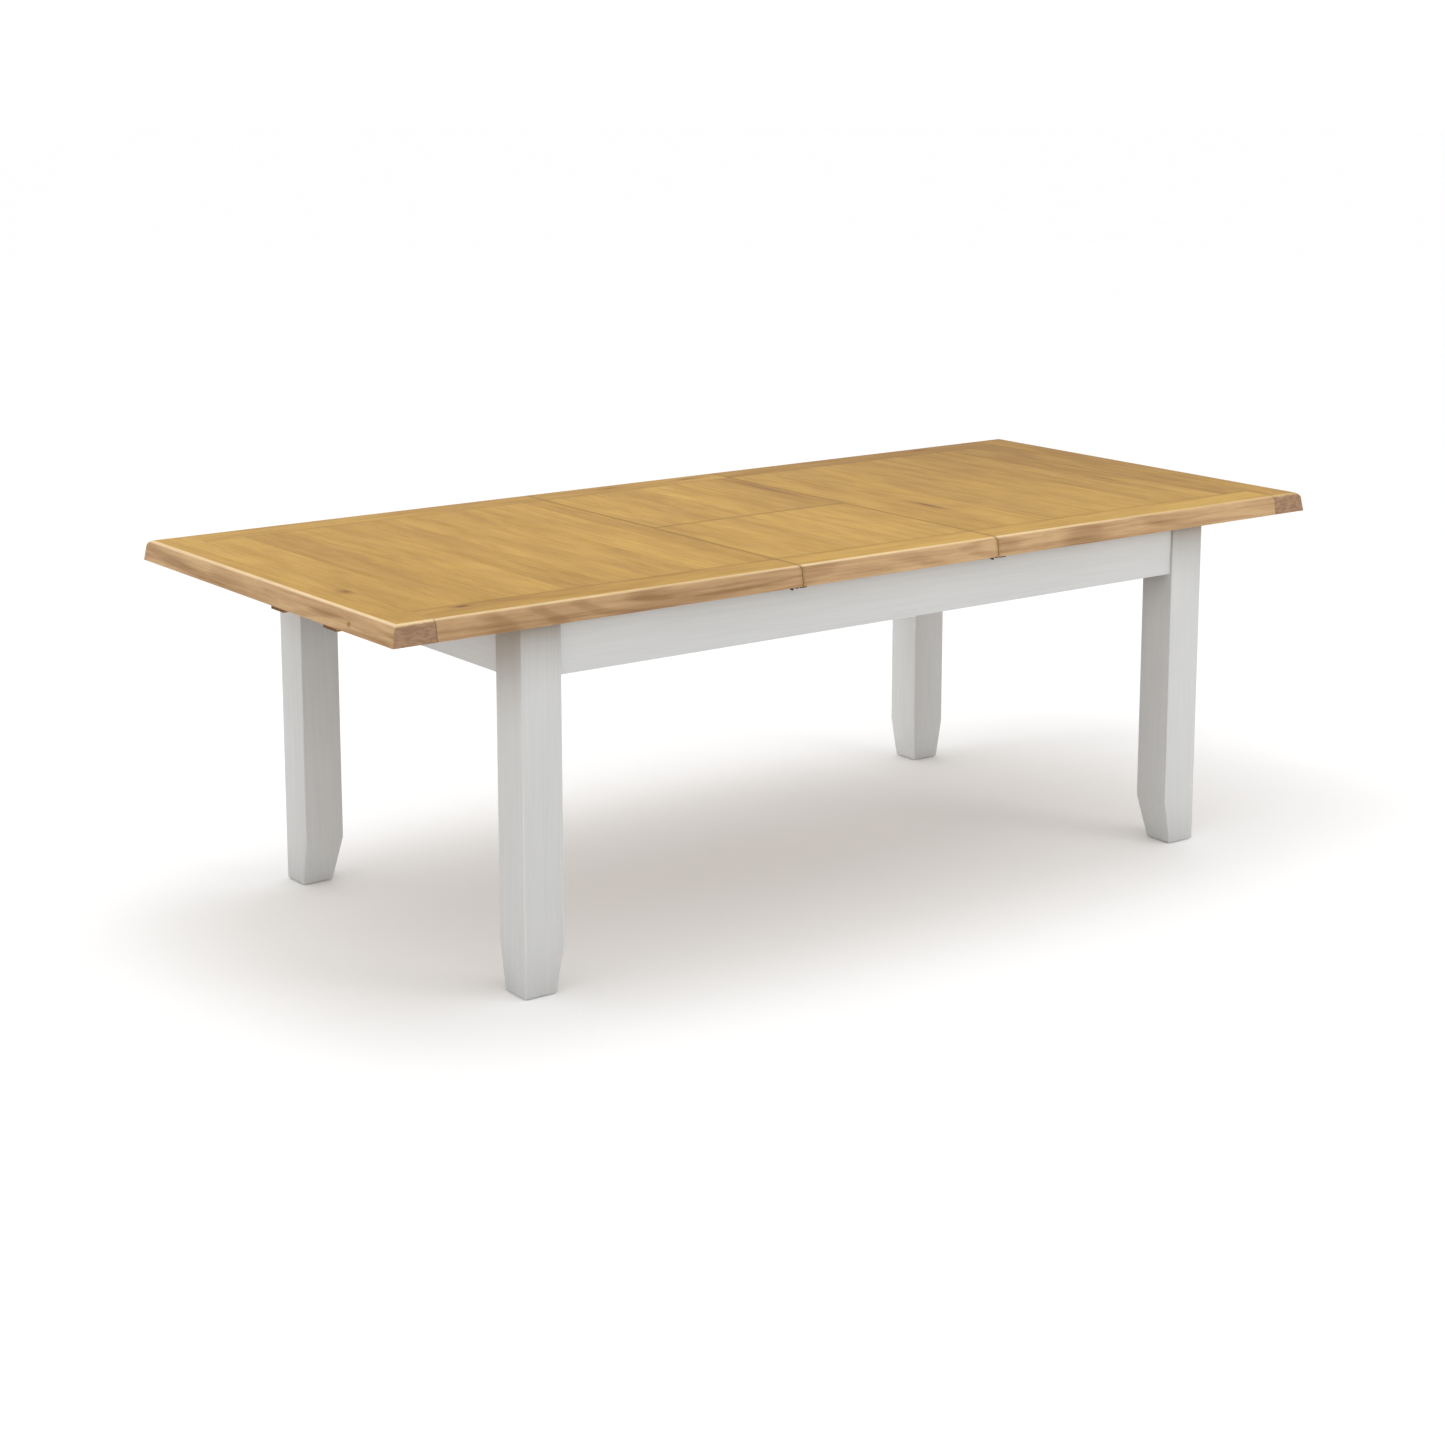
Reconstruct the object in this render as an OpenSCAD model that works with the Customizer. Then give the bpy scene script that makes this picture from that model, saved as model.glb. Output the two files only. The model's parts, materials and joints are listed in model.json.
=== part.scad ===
// Extendable dining table, drawn pulled out with its folding leaf in place.
// X runs along the table, Y across it, Z up; the floor is z = 0 and the
// origin is under the middle of the leaf. All sizes are in millimetres.

/* [Table] */
// overall length with the leaf in
table_length = 2300; // [1900:10:2600]
// overall width
table_width = 1000; // [850:10:1100]
// height of the table surface
table_height = 750; // [720:5:790]
// length of the leaf between the two seams
leaf_length = 500; // [400:10:600]
// gap left at each seam between a top half and the leaf
seam_gap = 0.5; // [0.3:0.1:2]
// gap along the fold between the two halves of the leaf
fold_gap = 0.5; // [0.4:0.1:2]

/* [Top boards] */
// thickness of the framing boards, seen at the edge
edge_thickness = 40; // [30:1:55]
// width of the end boards and side rails
board_width = 90; // [60:5:120]
// thickness of the planked panel inside the framing
panel_thickness = 22; // [18:1:30]
// radius of the rounded top edge
round_over = 14; // [3:1:18]
// how far the edge leans in from its foot to the rounding
edge_lean = 4; // [0:0.5:8]
// width of the strip that thickens each panel at its open edge
seam_strip_width = 24; // [15:1:40]

/* [Legs] */
// side of the square leg
leg_size = 87; // [60:1:110]
// length over the outer faces of the legs
frame_length = 1736; // [1500:2:2000]
// width over the outer faces of the legs
frame_width = 930; // [700:2:1000]
// height over which the two inner faces of a leg draw in
taper_height = 96; // [40:1:200]
// how far the inner faces draw in at the foot
taper_inset = 17.5; // [5:0.5:30]
// size of the softened corners of a leg
leg_chamfer = 1.5; // [0.5:0.5:5]
// thickness of the glide under each leg
foot_glide_height = 2; // [1:0.5:6]
// radius of the glide under each leg
foot_glide_radius = 11; // [6:1:20]

/* [Aprons] */
// height of the aprons
apron_height = 102; // [70:1:130]
// thickness of the aprons
apron_thickness = 20; // [16:1:28]
// how far an apron stands back from the face of the leg
apron_recess = 5; // [0:1:15]
// gap between the frame and the underside of the top
frame_gap = 3; // [2:0.5:6]
// width of the slippery strip on the long aprons
glide_strip_width = 10; // [6:1:14]

/* [Slides] */
// width of a wooden runner
runner_width = 50; // [35:1:70]
// distance of a runner's middle from the middle of the table
runner_offset = 104; // [60:1:250]
// how far a runner hangs below the framing boards
runner_drop = 48; // [30:1:60]
// distance from the table end to the outer end of a runner
runner_setback = 91; // [80:1:200]
// distance from the seam to the inner end of a runner
runner_inner_setback = 25; // [25:5:80]
// thickness of a guide beside a runner
guide_thickness = 20; // [15:1:30]
// how far a guide's tongue reaches into the runner's groove
tongue_reach = 8; // [4:0.5:10]
// height of a guide's tongue
tongue_height = 10; // [6:0.5:14]
// play of a tongue above and below in its groove
tongue_play = 0.5; // [0.3:0.1:1]
// gap between a runner and the guide on either side
side_play = 1; // [0.5:0.1:2]
// travel left beyond the drawn position, to free the leaf
over_travel = 45; // [20:5:60]
// distance from the middle of the table to a cross rail
cross_rail_position = 345; // [320:5:600]
// thickness of a cross rail
cross_rail_thickness = 25; // [18:1:35]

/* [Fasteners] */
// radius of the bolt that holds a leg
leg_bolt_radius = 4; // [3:0.5:6]
// height of the glued corner block
block_height = 44; // [25:1:80]
// radius of the wood screws
screw_radius = 2.2; // [1.5:0.1:3]
// radius of the wood screw heads
screw_head_radius = 4.4; // [3:0.1:6]
// radius of the concealed barrel hinges in the fold
barrel_radius = 7; // [5:0.5:8]
// length of a concealed barrel hinge in each half of the leaf
barrel_length = 26; // [18:1:35]

/* [Catches] */
// distance of a catch's pivot from the seam
catch_setback = 6; // [5:0.5:12]
// distance of a catch's pivot from the long edge of the table
catch_inset = 14; // [12:0.5:30]
// width of a catch plate
catch_width = 12; // [8:1:16]
// reach of a catch plate from pivot to its rounded end
catch_reach = 26; // [16:1:30]
// reach of a catch plate from pivot to its finger tab
catch_tail = 13; // [10:1:20]
// thickness of the catch plate
catch_thickness = 1.6; // [1:0.1:2.5]
// how far the finger tab of a catch hangs down
catch_tab_drop = 4.5; // [4:0.5:12]
// how far the stiffening lip on a catch's outer edge hangs down
catch_lip_drop = 2; // [1:0.5:4]

/* [Hidden] */
$fn = 48;
under_top = table_height - edge_thickness;
under_panel = table_height - panel_thickness;
frame_top = under_top - frame_gap;
apron_bottom = frame_top - apron_height;
half_length = table_length / 2;
half_width = table_width / 2;
seam_x = leaf_length / 2;
leg_out_x = frame_length / 2;
leg_out_y = frame_width / 2;
leg_in_x = leg_out_x - leg_size;
leg_in_y = leg_out_y - leg_size;
apron_out_x = leg_out_x - apron_recess;
apron_out_y = leg_out_y - apron_recess;
apron_in_x = apron_out_x - apron_thickness;
apron_in_y = apron_out_y - apron_thickness;
panel_x = half_length - board_width;
panel_y = half_width - board_width;
runner_y0 = runner_offset - runner_width / 2;
runner_y1 = runner_offset + runner_width / 2;
runner_bottom = under_top - runner_drop;
runner_outer_x = half_length - runner_setback;
runner_inner_x = seam_x + runner_inner_setback;
tongue_z = runner_bottom + 19;
guide_bottom = runner_bottom - 12;
housing_depth = 6;
cross_rail_bottom = apron_bottom + 4;
stop_pin_radius = 4;
stop_pin_x = cross_rail_position - over_travel - stop_pin_radius - 0.5;
guide_screw_x = cross_rail_position + cross_rail_thickness / 2;
block_reach = 111;
block_middle = frame_top - 42;
block_depth = (block_reach - (apron_in_y - leg_in_y)) / sqrt(2);
foot_x = leg_out_x - (leg_size - taper_inset) / 2;
foot_y = leg_out_y - (leg_size - taper_inset) / 2;
catch_x = seam_x + catch_setback;
catch_y = half_width - catch_inset;
catch_top = under_top - 0.4;
barrel_x = 150;
barrel_z = table_height - 9;
runner_screw_xs = [380, 660, 960];

// colours
oak = [0.80, 0.65, 0.40];
paint = [0.78, 0.78, 0.77];
frame_wood = [0.72, 0.56, 0.38];
zinc = [0.70, 0.71, 0.72];
bronze = [0.38, 0.30, 0.22];
nylon = [0.88, 0.87, 0.84];

// ---- shared shapes ----

// repeats a front left piece at all four corners
module at_four_corners() {
  children();
  mirror([1, 0, 0]) children();
  mirror([0, 1, 0]) children();
  rotate([0, 0, 180]) children();
}

// repeats a piece on the front and the back
module front_and_back() {
  children();
  mirror([0, 1, 0]) children();
}

// a screw standing on its point: head at the bottom, shank upwards
module screw(length, radius, head_radius, head_height) {
  difference() {
    union() {
      cylinder(r = head_radius, h = head_height);
      translate([0, 0, head_height]) cylinder(r = radius, h = length - head_height);
    }
    translate([-head_radius * 0.55, -0.45, -1]) cube([head_radius * 1.1, 0.9, 2.2]);
    translate([-0.45, -head_radius * 0.55, -1]) cube([0.9, head_radius * 1.1, 2.2]);
  }
}

// what is cut away outside the moulded edge: x is inwards from the edge, y is up
module edge_waste() {
  rise = edge_thickness - round_over;
  inner = edge_lean + round_over;
  difference() {
    polygon([
      [-3, -1], [0, -1], [0, 0], [edge_lean, rise],
      [inner, rise], [inner, edge_thickness + 1], [-3, edge_thickness + 1]
    ]);
    translate([inner, rise]) circle(r = round_over, $fn = 96);
  }
}

// the waste along the front edge
module front_waste() {
  translate([-half_length - 1, -half_width, under_top])
    rotate([90, 0, 90])
      linear_extrude(table_length + 2) edge_waste();
}

// the waste along the left end
module left_waste() {
  translate([-half_length, half_width + 1, under_top])
    rotate([90, 0, 0])
      linear_extrude(table_width + 2) edge_waste();
}

// ---- frame ----

// front left leg: square, with its two inner faces drawn in at the foot
module leg() {
  c = leg_chamfer;
  difference() {
    intersection() {
      translate([0, 0, foot_glide_height])
        linear_extrude(frame_top - foot_glide_height)
          polygon([
            [-leg_out_x + c, -leg_out_y], [-leg_in_x - c, -leg_out_y],
            [-leg_in_x, -leg_out_y + c], [-leg_in_x, -leg_in_y - c],
            [-leg_in_x - c, -leg_in_y], [-leg_out_x + c, -leg_in_y],
            [-leg_out_x, -leg_in_y - c], [-leg_out_x, -leg_out_y + c]
          ]);
      translate([0, -leg_in_y + 1, 0])
        rotate([90, 0, 0])
          linear_extrude(leg_size + 2)
            polygon([
              [-leg_out_x - 1, 0], [-leg_in_x - taper_inset, 0],
              [-leg_in_x, taper_height], [-leg_in_x, frame_top + 1],
              [-leg_out_x - 1, frame_top + 1]
            ]);
      translate([-leg_out_x - 1, 0, 0])
        rotate([90, 0, 90])
          linear_extrude(leg_size + 2)
            polygon([
              [-leg_out_y - 1, 0], [-leg_in_y - taper_inset, 0],
              [-leg_in_y, taper_height], [-leg_in_y, frame_top + 1],
              [-leg_out_y - 1, frame_top + 1]
            ]);
    }
    translate([-leg_in_x, -leg_in_y, block_middle])
      rotate([0, -90, 45])
        translate([0, 0, -5]) cylinder(r = leg_bolt_radius + 0.05, h = 50);
    translate([-foot_x, -foot_y, -1]) cylinder(r = 2.05, h = 13.2);
  }
}

module leg_front_left() {
  color(paint) leg();
}

module leg_front_right() {
  color(paint) mirror([1, 0, 0]) leg();
}

module leg_back_left() {
  color(paint) mirror([0, 1, 0]) leg();
}

module leg_back_right() {
  color(paint) rotate([0, 0, 180]) leg();
}

// long apron with housings for the cross rails and holes for the block screws
module long_apron() {
  difference() {
    translate([-leg_in_x, -apron_out_y, apron_bottom])
      cube([2 * leg_in_x, apron_thickness, apron_height]);
    for (side = [-1, 1]) {
      translate([
        side * (cross_rail_position + cross_rail_thickness / 2) - cross_rail_thickness / 2,
        -apron_in_y - housing_depth, cross_rail_bottom
      ])
        cube([cross_rail_thickness, housing_depth + 1, guide_bottom - cross_rail_bottom]);
      translate([side * (leg_in_x - 56), -apron_in_y + 1, block_middle])
        rotate([90, 0, 0]) cylinder(r = screw_radius + 0.05, h = 13.2);
    }
  }
}

module apron_front() {
  color(paint) long_apron();
}

module apron_back() {
  color(paint) mirror([0, 1, 0]) long_apron();
}

// end apron, notched from above for the two runners
module end_apron() {
  difference() {
    translate([-apron_out_x, -leg_in_y, apron_bottom])
      cube([apron_thickness, 2 * leg_in_y, apron_height]);
    for (side = [-1, 1]) {
      translate([-apron_out_x - 1, side * runner_offset - runner_width / 2 - 2, runner_bottom - 3])
        cube([apron_thickness + 2, runner_width + 4, apron_height]);
      translate([-apron_in_x + 1, side * (leg_in_y - 56), block_middle])
        rotate([0, -90, 0]) cylinder(r = screw_radius + 0.05, h = 13.2);
    }
  }
}

module apron_left_end() {
  color(paint) end_apron();
}

module apron_right_end() {
  color(paint) mirror([1, 0, 0]) end_apron();
}

// front left corner block, fitted between the two aprons behind the leg
module corner_block() {
  a = block_reach;
  difference() {
    translate([0, 0, block_middle - block_height / 2])
      linear_extrude(block_height)
        polygon([
          [-leg_in_x, -apron_in_y], [-leg_in_x + a, -apron_in_y],
          [-apron_in_x, -leg_in_y + a], [-apron_in_x, -leg_in_y],
          [-leg_in_x, -leg_in_y]
        ]);
    translate([-leg_in_x, -leg_in_y, block_middle])
      rotate([0, 90, 45]) translate([0, 0, -5]) cylinder(r = leg_bolt_radius + 0.6, h = 60);
    translate([-leg_in_x + 56, -apron_in_y - 1, block_middle])
      rotate([-90, 0, 0]) cylinder(r = screw_radius + 0.2, h = 30);
    translate([-leg_in_x + 56, -apron_in_y + 15, block_middle])
      rotate([-90, 0, 0]) cylinder(r = screw_head_radius + 1, h = 60);
    translate([-apron_in_x - 1, -leg_in_y + 56, block_middle])
      rotate([0, 90, 0]) cylinder(r = screw_radius + 0.2, h = 30);
    translate([-apron_in_x + 15, -leg_in_y + 56, block_middle])
      rotate([0, 90, 0]) cylinder(r = screw_head_radius + 1, h = 60);
  }
}

module corner_block_front_left() {
  color(frame_wood) corner_block();
}

module corner_block_front_right() {
  color(frame_wood) mirror([1, 0, 0]) corner_block();
}

module corner_block_back_left() {
  color(frame_wood) mirror([0, 1, 0]) corner_block();
}

module corner_block_back_right() {
  color(frame_wood) rotate([0, 0, 180]) corner_block();
}

// studs screwed into the legs, one per corner
module leg_bolts() {
  color(zinc)
    at_four_corners()
      translate([-leg_in_x, -leg_in_y, block_middle])
        rotate([0, 90, 45])
          translate([0, 0, -44]) cylinder(r = leg_bolt_radius, h = 44 + block_depth + 14);
}

module leg_bolt_washers() {
  color(zinc)
    at_four_corners()
      translate([-leg_in_x, -leg_in_y, block_middle])
        rotate([0, 90, 45])
          translate([0, 0, block_depth])
            difference() {
              cylinder(r = 10, h = 2);
              translate([0, 0, -1]) cylinder(r = leg_bolt_radius + 0.3, h = 4);
            }
}

module leg_bolt_nuts() {
  color(zinc)
    at_four_corners()
      translate([-leg_in_x, -leg_in_y, block_middle])
        rotate([0, 90, 45])
          translate([0, 0, block_depth + 2])
            difference() {
              cylinder(r = 7.5, h = 6.5, $fn = 6);
              translate([0, 0, -1]) cylinder(r = leg_bolt_radius + 0.05, h = 9);
            }
}

// screws that hold the corner blocks to the aprons, two per corner
module block_screws() {
  color(zinc)
    at_four_corners() {
      translate([-leg_in_x + 56, -apron_in_y + 18.5, block_middle])
        rotate([90, 0, 0]) screw(30, screw_radius, screw_head_radius, 3.5);
      translate([-apron_in_x + 18.5, -leg_in_y + 56, block_middle])
        rotate([0, -90, 0]) screw(30, screw_radius, screw_head_radius, 3.5);
    }
}

// nail-in glides that the table stands on
module foot_glides() {
  color(nylon)
    at_four_corners()
      translate([-foot_x, -foot_y, 0]) {
        cylinder(r = foot_glide_radius, h = foot_glide_height);
        cylinder(r = 2, h = 12);
      }
}

// left cross rail, housed in the long aprons, carrying the guides
module cross_rail() {
  depth = guide_bottom - cross_rail_bottom;
  difference() {
    translate([
      -cross_rail_position - cross_rail_thickness,
      -apron_in_y - housing_depth, cross_rail_bottom
    ])
      cube([cross_rail_thickness, 2 * (apron_in_y + housing_depth), depth]);
    front_and_back()
      for (y = [runner_y0 - side_play - guide_thickness / 2, runner_y1 + side_play + guide_thickness / 2])
        translate([-guide_screw_x, -y, cross_rail_bottom - 1]) {
          cylinder(r = screw_head_radius + 1, h = 21);
          cylinder(r = screw_radius + 0.2, h = depth + 2);
        }
  }
}

module cross_rail_left() {
  color(frame_wood) cross_rail();
}

module cross_rail_right() {
  color(frame_wood) mirror([1, 0, 0]) cross_rail();
}

// guide beside the front runner, on its side away from the middle of the table
module outer_guide() {
  y0 = runner_y1 + side_play;
  difference() {
    translate([-apron_in_x, 0, 0])
      rotate([90, 0, 90])
        linear_extrude(2 * apron_in_x)
          polygon([
            [-y0, guide_bottom], [-y0 - guide_thickness, guide_bottom],
            [-y0 - guide_thickness, frame_top], [-y0, frame_top],
            [-y0, tongue_z + tongue_height], [-y0 + tongue_reach, tongue_z + tongue_height],
            [-y0 + tongue_reach, tongue_z], [-y0, tongue_z]
          ]);
    for (side = [-1, 1])
      translate([side * guide_screw_x, -y0 - guide_thickness / 2, guide_bottom - 1])
        cylinder(r = screw_radius + 0.05, h = 26.2);
  }
}

// guide beside the front runner, on its side towards the middle of the table
module inner_guide() {
  translate([0, -2 * runner_offset, 0]) mirror([0, 1, 0]) outer_guide();
}

module guide_front_outer() {
  color(frame_wood) outer_guide();
}

module guide_front_inner() {
  color(frame_wood) inner_guide();
}

module guide_back_inner() {
  color(frame_wood) mirror([0, 1, 0]) inner_guide();
}

module guide_back_outer() {
  color(frame_wood) mirror([0, 1, 0]) outer_guide();
}

// screws up through the cross rails into the guides
module guide_screws() {
  color(zinc)
    front_and_back()
      for (side = [-1, 1])
        for (y = [runner_y0 - side_play - guide_thickness / 2, runner_y1 + side_play + guide_thickness / 2])
          translate([side * guide_screw_x, -y, cross_rail_bottom + 16.5])
            screw(guide_bottom - cross_rail_bottom + 8.5, screw_radius, screw_head_radius, 3.5);
}

// strip the top slides on
module glide_strip() {
  translate([-leg_in_x + 10, -apron_in_y - glide_strip_width - 2, frame_top])
    cube([2 * leg_in_x - 20, glide_strip_width, frame_gap - 0.4]);
}

module glide_strip_front() {
  color(nylon) glide_strip();
}

module glide_strip_back() {
  color(nylon) mirror([0, 1, 0]) glide_strip();
}

// ---- top halves, drawn as the left half; the right half is its mirror image ----

// board across the end, moulded on its three outer edges
module end_board() {
  difference() {
    translate([-half_length, -half_width, under_top])
      cube([board_width, table_width, edge_thickness]);
    left_waste();
    front_and_back() front_waste();
  }
}

// front rail from the end board to the seam, with the hole for the catch screw
module side_rail() {
  difference() {
    translate([-panel_x, -half_width, under_top])
      cube([panel_x - seam_x, board_width, edge_thickness]);
    front_waste();
    translate([-catch_x, -catch_y, under_top - 1]) cylinder(r = 2.05, h = 13.2);
  }
}

// planked panel with holes for the runner screws
module panel() {
  difference() {
    translate([-panel_x, -panel_y, under_panel])
      cube([panel_x - seam_x, 2 * panel_y, panel_thickness]);
    front_and_back()
      for (x = runner_screw_xs)
        translate([-x, -runner_offset, under_panel - 1]) cylinder(r = screw_radius + 0.05, h = 13.2);
  }
}

// strip that thickens the panel along the seam
module seam_strip() {
  translate([-seam_x - seam_strip_width, -panel_y, under_top])
    cube([seam_strip_width, 2 * panel_y, under_panel - under_top]);
}

// front runner: grooved both sides, counterbored for screws, bored for the stop pin
module runner() {
  height = under_panel - runner_bottom;
  difference() {
    translate([-runner_outer_x, -runner_y1, runner_bottom])
      cube([runner_outer_x - runner_inner_x, runner_width, height]);
    for (y = [-runner_y1 - 1, -runner_y0 - tongue_reach])
      translate([-runner_outer_x - 1, y, tongue_z - tongue_play])
        cube([
          runner_outer_x - runner_inner_x + 2, tongue_reach + 1,
          tongue_height + 2 * tongue_play
        ]);
    for (x = runner_screw_xs)
      translate([-x, -runner_offset, runner_bottom - 1]) {
        cylinder(r = screw_head_radius + 1, h = 31);
        cylinder(r = screw_radius + 0.2, h = height + 2);
      }
    translate([-stop_pin_x, -runner_offset, runner_bottom - 1])
      cylinder(r = stop_pin_radius + 0.05, h = 24.2);
  }
}

// screws up through the runners into the panel
module runner_screws() {
  height = under_panel - runner_bottom;
  front_and_back()
    for (x = runner_screw_xs)
      translate([-x, -runner_offset, runner_bottom + 26.5])
        screw(height - 26.5 + 12, screw_radius, screw_head_radius, 3.5);
}

// pins that meet the cross rail when the half is pulled fully out
module stop_pins() {
  front_and_back()
    translate([-stop_pin_x, -runner_offset, guide_bottom - 10])
      cylinder(r = stop_pin_radius, h = runner_bottom - guide_bottom + 33);
}

// pivot screws of the two catches on a half
module catch_screws() {
  front_and_back()
    translate([-catch_x, -catch_y, catch_top - catch_thickness - 0.4 - 2.2])
      screw(16, 2, 3.8, 2.2);
}

module left_end_board() {
  color(oak) end_board();
}

module left_front_rail() {
  color(oak) side_rail();
}

module left_back_rail() {
  color(oak) mirror([0, 1, 0]) side_rail();
}

module left_panel() {
  color(oak) panel();
}

module left_seam_strip() {
  color(frame_wood) seam_strip();
}

module left_front_runner() {
  color(frame_wood) runner();
}

module left_back_runner() {
  color(frame_wood) mirror([0, 1, 0]) runner();
}

module left_runner_screws() {
  color(zinc) runner_screws();
}

module left_stop_pins() {
  color(zinc) stop_pins();
}

module left_catch_screws() {
  color(bronze) catch_screws();
}

module right_end_board() {
  color(oak) mirror([1, 0, 0]) end_board();
}

module right_front_rail() {
  color(oak) mirror([1, 0, 0]) side_rail();
}

module right_back_rail() {
  color(oak) rotate([0, 0, 180]) side_rail();
}

module right_panel() {
  color(oak) mirror([1, 0, 0]) panel();
}

module right_seam_strip() {
  color(frame_wood) mirror([1, 0, 0]) seam_strip();
}

module right_front_runner() {
  color(frame_wood) mirror([1, 0, 0]) runner();
}

module right_back_runner() {
  color(frame_wood) rotate([0, 0, 180]) runner();
}

module right_runner_screws() {
  color(zinc) mirror([1, 0, 0]) runner_screws();
}

module right_stop_pins() {
  color(zinc) mirror([1, 0, 0]) stop_pins();
}

module right_catch_screws() {
  color(bronze) mirror([1, 0, 0]) catch_screws();
}

// ---- folding leaf, drawn as its front half ----

// rail along the outer edge of a leaf half
module leaf_rail() {
  difference() {
    translate([-seam_x + seam_gap, -half_width, under_top])
      cube([leaf_length - 2 * seam_gap, board_width, edge_thickness]);
    front_waste();
  }
}

// planked panel of a leaf half, bored in its folding edge for the barrel hinges
module leaf_panel() {
  difference() {
    translate([-seam_x + seam_gap, -panel_y, under_panel])
      cube([leaf_length - 2 * seam_gap, panel_y - fold_gap / 2, panel_thickness]);
    for (side = [-1, 1])
      translate([side * barrel_x, 0, barrel_z])
        rotate([90, 0, 0]) cylinder(r = barrel_radius + 0.05, h = barrel_length + fold_gap / 2 + 0.2);
  }
}

// strip that thickens the folding edge
module fold_strip() {
  translate([-seam_x + seam_gap, -45, under_top])
    cube([leaf_length - 2 * seam_gap, 45 - fold_gap / 2, under_panel - under_top]);
}

// barrel hinge halves, slotted for the links that join them
module barrels() {
  for (side = [-1, 1])
    difference() {
      translate([side * barrel_x, -fold_gap / 2, barrel_z])
        rotate([90, 0, 0]) cylinder(r = barrel_radius, h = barrel_length);
      translate([side * barrel_x - 1.6, -14, barrel_z - 5])
        cube([3.2, 15, 20]);
    }
}

module leaf_front_rail() {
  color(oak) leaf_rail();
}

module leaf_front_panel() {
  color(oak) leaf_panel();
}

module leaf_front_fold_strip() {
  color(frame_wood) fold_strip();
}

module leaf_front_barrels() {
  color(bronze) barrels();
}

module leaf_back_rail() {
  color(oak) mirror([0, 1, 0]) leaf_rail();
}

module leaf_back_panel() {
  color(oak) mirror([0, 1, 0]) leaf_panel();
}

module leaf_back_fold_strip() {
  color(frame_wood) mirror([0, 1, 0]) fold_strip();
}

module leaf_back_barrels() {
  color(bronze) mirror([0, 1, 0]) barrels();
}

// ---- catches ----

// swivel plate drawn about its pivot, with a finger tab turned down at one end
module catch_plate() {
  difference() {
    union() {
      translate([-catch_tail, -catch_width / 2, -catch_thickness])
        cube([catch_tail + catch_reach - catch_width / 2, catch_width, catch_thickness]);
      translate([catch_reach - catch_width / 2, 0, -catch_thickness])
        cylinder(r = catch_width / 2, h = catch_thickness);
      translate([-catch_tail, -catch_width / 2 + 1, -catch_thickness - catch_tab_drop])
        cube([catch_thickness, catch_width - 2, catch_tab_drop + 0.5]);
      translate([4, -catch_width / 2, -catch_thickness - catch_lip_drop])
        cube([catch_reach - catch_width / 2 - 4, catch_thickness, catch_lip_drop + 0.5]);
    }
    translate([0, 0, -catch_thickness - 1]) cylinder(r = 2.08, h = catch_thickness + 2);
  }
}

module left_front_catch() {
  color(bronze) translate([-catch_x, -catch_y, catch_top]) catch_plate();
}

module left_back_catch() {
  color(bronze) mirror([0, 1, 0]) translate([-catch_x, -catch_y, catch_top]) catch_plate();
}

module right_front_catch() {
  color(bronze) translate([catch_x, -catch_y, catch_top]) catch_plate();
}

module right_back_catch() {
  color(bronze) mirror([0, 1, 0]) translate([catch_x, -catch_y, catch_top]) catch_plate();
}

// ---- what is drawn ----
leg_front_left();
leg_front_right();
leg_back_left();
leg_back_right();
apron_front();
apron_back();
apron_left_end();
apron_right_end();
corner_block_front_left();
corner_block_front_right();
corner_block_back_left();
corner_block_back_right();
leg_bolts();
leg_bolt_washers();
leg_bolt_nuts();
block_screws();
foot_glides();
cross_rail_left();
cross_rail_right();
guide_front_outer();
guide_front_inner();
guide_back_inner();
guide_back_outer();
guide_screws();
glide_strip_front();
glide_strip_back();
left_end_board();
left_front_rail();
left_back_rail();
left_panel();
left_seam_strip();
left_front_runner();
left_back_runner();
left_runner_screws();
left_stop_pins();
left_catch_screws();
right_end_board();
right_front_rail();
right_back_rail();
right_panel();
right_seam_strip();
right_front_runner();
right_back_runner();
right_runner_screws();
right_stop_pins();
right_catch_screws();
leaf_front_rail();
leaf_front_panel();
leaf_front_fold_strip();
leaf_front_barrels();
leaf_back_rail();
leaf_back_panel();
leaf_back_fold_strip();
leaf_back_barrels();
left_front_catch();
left_back_catch();
right_front_catch();
right_back_catch();
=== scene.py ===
import json
import math

import bmesh
import bpy
import numpy as np
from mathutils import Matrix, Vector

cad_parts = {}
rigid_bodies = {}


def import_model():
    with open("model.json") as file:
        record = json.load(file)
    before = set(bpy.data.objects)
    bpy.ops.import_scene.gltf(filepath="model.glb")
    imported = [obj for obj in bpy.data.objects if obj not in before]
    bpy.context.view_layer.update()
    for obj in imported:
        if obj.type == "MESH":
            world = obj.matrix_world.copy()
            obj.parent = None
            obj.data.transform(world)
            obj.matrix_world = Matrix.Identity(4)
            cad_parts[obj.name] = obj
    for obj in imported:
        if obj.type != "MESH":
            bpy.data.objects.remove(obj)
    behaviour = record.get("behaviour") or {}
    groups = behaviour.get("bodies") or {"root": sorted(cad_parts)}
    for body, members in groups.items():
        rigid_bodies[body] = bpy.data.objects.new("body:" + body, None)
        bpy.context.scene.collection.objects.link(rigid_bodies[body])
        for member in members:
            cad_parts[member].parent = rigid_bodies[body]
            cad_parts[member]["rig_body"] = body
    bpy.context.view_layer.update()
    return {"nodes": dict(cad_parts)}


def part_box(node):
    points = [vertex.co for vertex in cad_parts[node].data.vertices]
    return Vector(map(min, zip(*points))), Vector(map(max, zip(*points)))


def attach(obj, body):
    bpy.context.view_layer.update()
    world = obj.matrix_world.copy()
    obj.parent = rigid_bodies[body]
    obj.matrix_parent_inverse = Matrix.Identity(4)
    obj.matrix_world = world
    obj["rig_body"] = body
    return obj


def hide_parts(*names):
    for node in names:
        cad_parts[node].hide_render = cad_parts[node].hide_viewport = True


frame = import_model()

TABLE_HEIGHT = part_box("left_end_board")[1].z

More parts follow.
